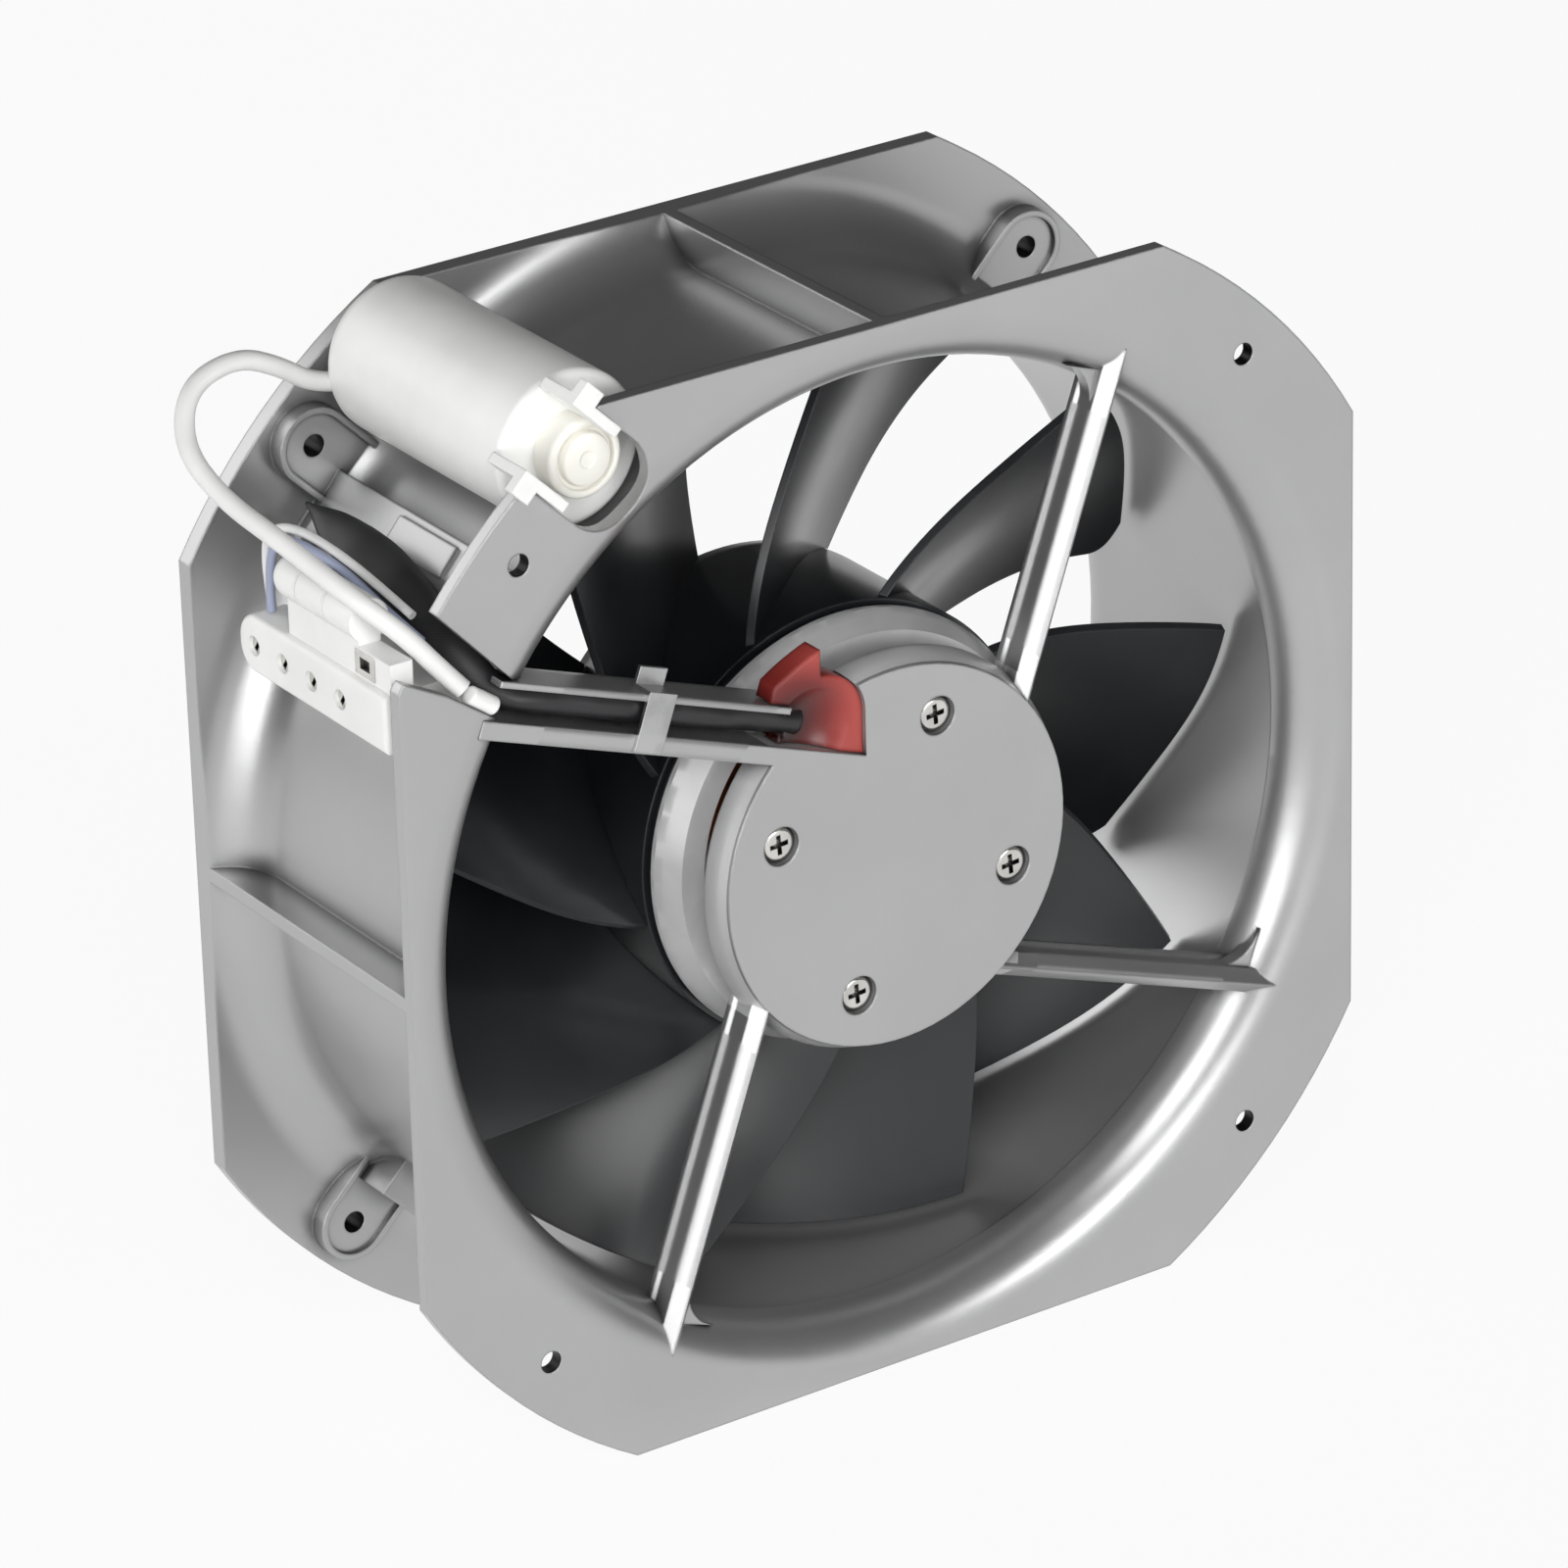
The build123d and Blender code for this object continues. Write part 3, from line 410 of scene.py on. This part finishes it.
# Merges loose triangles and keeps an edge sharp only where its faces turn by more than the angle in degrees
def smoothGroup(look):
    group = bpy.data.node_groups.new("smoothCurves", "GeometryNodeTree")
    group.interface.new_socket("Geometry", in_out="INPUT", socket_type="NodeSocketGeometry")
    group.interface.new_socket("Geometry", in_out="OUTPUT", socket_type="NodeSocketGeometry")
    nodes, links = group.nodes, group.links
    start = nodes.new("NodeGroupInput")
    merge = nodes.new("GeometryNodeMergeByDistance")
    merge.inputs["Distance"].default_value = look["merge"]
    soft = nodes.new("GeometryNodeSetShadeSmooth")
    edgeAngle = nodes.new("GeometryNodeInputMeshEdgeAngle")
    compare = nodes.new("FunctionNodeCompare")
    compare.operation = "GREATER_THAN"
    compare.inputs[1].default_value = math.radians(look["sharpAngle"])
    sharp = nodes.new("GeometryNodeSetShadeSmooth")
    sharp.domain = "EDGE"
    sharp.inputs["Shade Smooth"].default_value = False
    end = nodes.new("NodeGroupOutput")
    links.new(start.outputs[0], merge.inputs["Geometry"])
    links.new(merge.outputs["Geometry"], soft.inputs["Geometry"])
    links.new(soft.outputs["Geometry"], sharp.inputs["Geometry"])
    links.new(edgeAngle.outputs["Unsigned Angle"], compare.inputs[0])
    links.new(compare.outputs["Result"], sharp.inputs["Selection"])
    links.new(sharp.outputs["Geometry"], end.inputs[0])
    return group


smoothCurves = smoothGroup(smoothSettings)


def addSmoothing(piece):
    modifier = piece.modifiers.new("smoothCurves", "NODES")
    modifier.node_group = smoothCurves


roundedNodes = {"cable_grommet": {"width": 0.0009, "segments": 3, "angle": 40.0, "merge": 2e-6}}


# Merges a node's loose triangles, then rounds its edges that turn by more than the angle in degrees
def addRounding(node, look):
    merge = node.modifiers.new("merge", "WELD")
    merge.merge_threshold = look["merge"]
    rounding = node.modifiers.new("rounding", "BEVEL")
    rounding.width = look["width"]
    rounding.segments = look["segments"]
    rounding.angle_limit = math.radians(look["angle"])


def finishOf(name):
    if name in nodeFinish:
        return nodeFinish[name]
    if name.endswith("_cage"):
        return "cage"
    if "_bearing_" in name:
        return "bearing"
    return "blackPaint"


for name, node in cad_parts.items():
    node.data.materials.clear()
    node.data.materials.append(materials[finishOf(name)])
    if name in roundedNodes:
        addRounding(node, roundedNodes[name])
    addSmoothing(node)
print("nodes finished")

halfSide = 0.1125  # of the flange


# Route points in millimetres from the flange's upper left corner, as in the CAD source, made metres
def fromCorner(points):
    return [(x / 1000 - halfSide, y / 1000, halfSide - z / 1000) for x, y, z in points]


leadSettings = {
    "radius": 0.002,
    "points": fromCorner([
        (15.5, 2.2, 50.5), (12.3, 4.6, 46.5), (7.7, 9.2, 39.9), (0.3, 16.5, 32.3), (-2.4, 34.0, 27.4),
        (-6.0, 52.0, 22.5), (-7.0, 63.6, 15.4), (-1.8, 69.5, 6.6), (10.2, 71.2, 4.0), (20.0, 72.0, 8.6),
        (28.0, 72.5, 14.6), (35.0, 72.5, 15.6)]),
}
wireSettings = {
    "radius": 0.0009,
    "routes": [
        fromCorner([(14.1, 14.0, 44.3), (12.4, 24.0, 41.0), (9.6, 33.0, 35.4), (5.4, 40.5, 31.6),
                    (4.4, 47.6, 32.0), (4.5, 53.5, 38.5), (4.5, 53.0, 49.2)]),
        fromCorner([(14.2, 17.0, 40.2), (12.4, 28.0, 36.2), (9.4, 37.0, 32.2), (6.4, 45.0, 29.8),
                    (5.2, 52.0, 31.6), (5.6, 57.0, 38.5), (5.6, 54.5, 49.1)]),
    ],
    "finishes": ["blueWire", "whiteWire"],
}
cordForm = {"order": 3, "steps": 10, "roundness": 5}


# A round sheath along one smooth spline that is pulled towards the route's points
def softCord(name, points, radius, material):
    data = bpy.data.curves.new(name, "CURVE")
    data.dimensions = "3D"
    spline = data.splines.new("NURBS")
    spline.points.add(len(points) - 1)
    spline.points.foreach_set("co", np.column_stack([points, np.ones(len(points))]).ravel())
    spline.order_u = cordForm["order"]
    spline.use_endpoint_u = True
    spline.resolution_u = cordForm["steps"]
    data.bevel_depth = radius
    data.bevel_resolution = cordForm["roundness"]
    data.use_fill_caps = True
    cordPiece = bpy.data.objects.new(name, data)
    bpy.context.scene.collection.objects.link(cordPiece)
    data.materials.append(material)
    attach(cordPiece, "root")
    return cordPiece


# A cord's length: the sum of the short steps along its line without the sheath
def splineLength(cordPiece):
    plain = cordPiece.data.copy()
    plain.bevel_depth = 0
    probe = bpy.data.objects.new("probe", plain)
    mesh = bpy.data.meshes.new_from_object(probe)
    corners = np.zeros(len(mesh.vertices) * 3)
    mesh.vertices.foreach_get("co", corners)
    bpy.data.objects.remove(probe)
    return float(np.linalg.norm(np.diff(corners.reshape(-1, 3), axis=0), axis=1).sum())


lead = softCord("capacitorLead", leadSettings["points"], leadSettings["radius"], materials["whiteWire"])
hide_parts("capacitor_lead")
round(splineLength(lead), 4)
for index, route in enumerate(wireSettings["routes"]):
    wire = softCord("phaseWire" + str(index + 1), route, wireSettings["radius"],
                    materials[wireSettings["finishes"][index]])
    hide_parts("phase_wires")
    round(splineLength(wire), 4)
print("leads made")

sleeveSettings = {
    "route": [(-0.0207, 0.0047, 0.0335), (-0.0318, 0.0047, 0.0376), (-0.0540, 0.0047, 0.0456),
              (-0.0755, 0.0047, 0.0535)] + fromCorner([
                  (23.9, 5.3, 54.9), (18.6, 12.0, 46.3), (18.6, 25.0, 41.0), (18.8, 40.0, 37.4),
                  (20.0, 64.0, 34.6)]),
    "around": 28, "along": 150, "arcSteps": 24, "evenings": 3,
    "shares": [0.0, 0.09, 0.14, 0.46, 0.54, 0.64, 0.76, 0.86, 0.94, 1.0],
    "widths": [0.00285, 0.00285, 0.0040, 0.0040, 0.0036, 0.0046, 0.0058, 0.0052, 0.0030, 0.0004],
    "heights": [0.00285, 0.00285, 0.0033, 0.0033, 0.0027, 0.0022, 0.0017, 0.0014, 0.0010, 0.0004],
    "facing": (-0.62, 0.0, 0.78),
    "crease": 0.00012, "creaseWaves": 9.0,
}


# Each inner point of the route bends the line as a parabola between the middles of its two legs:
# place = (1 - t)^2 * middle before + 2 t (1 - t) * point + t^2 * middle after
def smoothRoute(points, count):
    points = np.array(points, dtype=float)
    middles = (points[:-1] + points[1:]) / 2
    t = np.linspace(0, 1, count)[None, :, None]
    before, bend, after = middles[:-1, None], points[1:-1, None], middles[1:, None]
    arcs = (1 - t) ** 2 * before + 2 * t * (1 - t) * bend + t ** 2 * after
    line = np.vstack([points[:1], arcs.reshape(-1, 3), points[-1:]])
    steps = np.concatenate([[0], np.cumsum(np.linalg.norm(np.diff(line, axis=0), axis=1))])
    keep = np.concatenate([[True], np.diff(steps) > 1e-9])
    return line[keep], steps[keep] / steps[-1]


# A closed skin over a grid of rings by points round each ring, with a fan at each end
def ringMesh(name, rings):
    count, around = rings.shape[:2]
    corners = np.vstack([rings.reshape(-1, 3), rings[0].mean(axis=0), rings[-1].mean(axis=0)])
    here = np.arange(around)
    beside = np.roll(here, -1)
    starts = np.arange(count - 1)[:, None] * around
    ends = starts + around
    quads = np.stack([starts + here, starts + beside, ends + beside, ends + here], axis=-1).reshape(-1, 4)
    last = (count - 1) * around
    firstFan = np.stack([here, np.full(around, len(corners) - 2), beside], axis=-1)
    lastFan = np.stack([last + here, last + beside, np.full(around, len(corners) - 1)], axis=-1)
    mesh = bpy.data.meshes.new(name)
    mesh.from_pydata(corners.tolist(), [], quads.tolist() + firstFan.tolist() + lastFan.tolist())
    work = bmesh.new()
    work.from_mesh(mesh)
    bmesh.ops.recalc_face_normals(work, faces=work.faces)
    work.to_mesh(mesh)
    work.free()
    mesh.shade_smooth()
    piece = bpy.data.objects.new(name, mesh)
    bpy.context.scene.collection.objects.link(piece)
    return piece


# Each value becomes the mean of itself and its two neighbours, as often as told
def evened(values, times):
    for _ in range(times):
        values = np.concatenate([values[:1], (values[:-2] + values[1:-1] + values[2:]) / 3, values[-1:]])
    return values


# The motor's sleeve fills the channel, then flattens to a lens and closes to a point on the housing.
# Each ring is an ellipse: side = (width + crease) * cos(a), rise = (height - crease) * sin(a), where the crease
# is a sine wave along the length.
def makeSleeve():
    look = sleeveSettings
    line, shares = smoothRoute(look["route"], look["arcSteps"])
    stops = np.linspace(0, 1, look["along"])
    centres = np.column_stack([np.interp(stops, shares, line[:, i]) for i in range(3)])
    widths = evened(np.interp(stops, look["shares"], look["widths"]), look["evenings"])
    heights = evened(np.interp(stops, look["shares"], look["heights"]), look["evenings"])
    tangents = np.gradient(centres, axis=0)
    tangents /= np.linalg.norm(tangents, axis=1)[:, None]
    facing = np.array(look["facing"])
    up = facing - (tangents @ facing)[:, None] * tangents
    up /= np.linalg.norm(up, axis=1)[:, None]
    across = np.cross(tangents, up)
    angles = np.linspace(0, 2 * math.pi, look["around"], endpoint=False)
    crease = look["crease"] * np.sin(look["creaseWaves"] * 2 * math.pi * stops)
    side = (widths + crease)[:, None] * np.cos(angles)
    rise = (heights - crease)[:, None] * np.sin(angles)
    rings = centres[:, None] + side[..., None] * across[:, None] + rise[..., None] * up[:, None]
    sleeve = ringMesh("motorSleeve", rings)
    sleeve.data.materials.append(materials["blackSleeve"])
    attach(sleeve, "root")
    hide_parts("motor_cable")


makeSleeve()
print("sleeve made")

# Profiles run from the rear to the front, as pairs of radius and depth in millimetres
capacitorSettings = {
    "axis": (-0.067, 0.1008), "around": 72,
    "can": {"radius": 16.0, "rear": 73.2, "rearRound": 5.0, "front": 9.0, "frontRound": 1.5},
    "plug": [(8.2, 9.6), (8.2, 4.6), (8.05, 4.0), (7.7, 3.6), (7.2, 3.4), (6.6, 3.4), (6.4, 3.5), (6.3, 4.4),
             (5.5, 4.4), (5.4, 3.3), (5.2, 2.9), (4.8, 2.7), (1.8, 2.7), (1.6, 2.9), (0.6, 3.0)],
}


# A quarter of a circle: radius = middle + size * cos(a), depth = middle + size * sin(a), between two angles
def quarter(radius, depth, size, startAngle, endAngle, count=8):
    a = np.radians(np.linspace(startAngle, endAngle, count))
    return np.column_stack([radius + size * np.cos(a), depth + size * np.sin(a)])


# A profile turned about the capacitor's axis: x = radius * cos(a), z = radius * sin(a), y = depth
def turnedPiece(name, profile, material, node):
    look = capacitorSettings
    profile = np.array(profile) / 1000
    angles = np.linspace(0, 2 * math.pi, look["around"], endpoint=False)
    x = look["axis"][0] + profile[:, :1] * np.cos(angles)
    z = look["axis"][1] + profile[:, :1] * np.sin(angles)
    y = np.broadcast_to(profile[:, 1:], x.shape)
    piece = ringMesh(name, np.stack([x, y, z], axis=-1))
    piece.data.materials.append(materials[material])
    addSmoothing(piece)
    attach(piece, "root")
    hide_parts(node)


# The can's profile is a rounded rear edge, a straight side and a rounded front edge
def makeCapacitor():
    can = capacitorSettings["can"]
    rearRound, frontRound = can["rearRound"], can["frontRound"]
    rear = quarter(can["radius"] - rearRound, can["rear"] - rearRound, rearRound, 90, 0)
    front = quarter(can["radius"] - frontRound, can["front"] + frontRound, frontRound, 0, -90)
    turnedPiece("capacitorCan", np.vstack([rear, front]), "whitePlastic", "capacitor_can")
    turnedPiece("capacitorPlug", capacitorSettings["plug"], "creamPlastic", "capacitor_plug")


makeCapacitor()
print("capacitor made")

studio = {
    "floorZ": -0.1125, "floorSize": 9.0, "floorColour": (0.88, 0.88, 0.88),
    "floorRough": 0.9, "floorShine": 0.1,
    "floorLift": 0.93,  # the floor's share of plain white where the camera or a reflection sees it
    "sky": 0.05,
    "lamps": [
        ("keyLamp", (-1.2, -1.9, 1.5), 1.5, 27.0),
        ("sideLamp", (-2.0, -1.3, 0.15), 1.8, 38.0),
        ("frontLamp", (0.4, -2.4, 0.4), 1.2, 21.0),
        ("backLamp", (-1.2, 1.8, 0.9), 1.7, 15.0),
    ],
}


def paleFloor():
    material, bsdf = startMaterial("paleFloor")
    bsdf.inputs["Base Color"].default_value = (*studio["floorColour"], 1)
    bsdf.inputs["Roughness"].default_value = studio["floorRough"]
    bsdf.inputs["Specular IOR Level"].default_value = studio["floorShine"]
    glow = addNode(material, "ShaderNodeEmission", Strength=1.0)
    path = addNode(material, "ShaderNodeLightPath").outputs
    seen = valueStep(material, "MAXIMUM", path["Is Camera Ray"], path["Is Glossy Ray"])
    seen = valueStep(material, "MAXIMUM", seen, path["Is Transmission Ray"])
    mix = addNode(material, "ShaderNodeMixShader")
    join(material, valueStep(material, "MULTIPLY", seen, studio["floorLift"]), mix.inputs[0])
    join(material, bsdf.outputs[0], mix.inputs[1])
    join(material, glow.outputs[0], mix.inputs[2])
    join(material, mix.outputs[0], material.node_tree.nodes["Material Output"].inputs["Surface"])
    return material


# A wide flat floor, a dim grey sky and four large soft lamps that point at the fan
def makeStudio():
    half = studio["floorSize"] / 2
    mesh = bpy.data.meshes.new("floor")
    corners = [(x * half, y * half, studio["floorZ"]) for x, y in ((-1, -1), (1, -1), (1, 1), (-1, 1))]
    mesh.from_pydata(corners, [], [(0, 1, 2, 3)])
    floor = bpy.data.objects.new("floor", mesh)
    bpy.context.scene.collection.objects.link(floor)
    mesh.materials.append(paleFloor())
    world = bpy.data.worlds.new("studioSky")
    world.use_nodes = True
    sky = studio["sky"]
    world.node_tree.nodes["Background"].inputs["Color"].default_value = (sky, sky, sky, 1)
    bpy.context.scene.world = world
    for name, place, size, power in studio["lamps"]:
        data = bpy.data.lights.new(name, "AREA")
        data.shape = "DISK"
        data.size = size
        data.energy = power
        lamp = bpy.data.objects.new(name, data)
        lamp.location = place
        lamp.rotation_euler = Vector(place).to_track_quat("Z", "Y").to_euler()
        bpy.context.scene.collection.objects.link(lamp)


makeStudio()
bpy.context.scene.view_settings.view_transform = "Standard"
print("studio made")
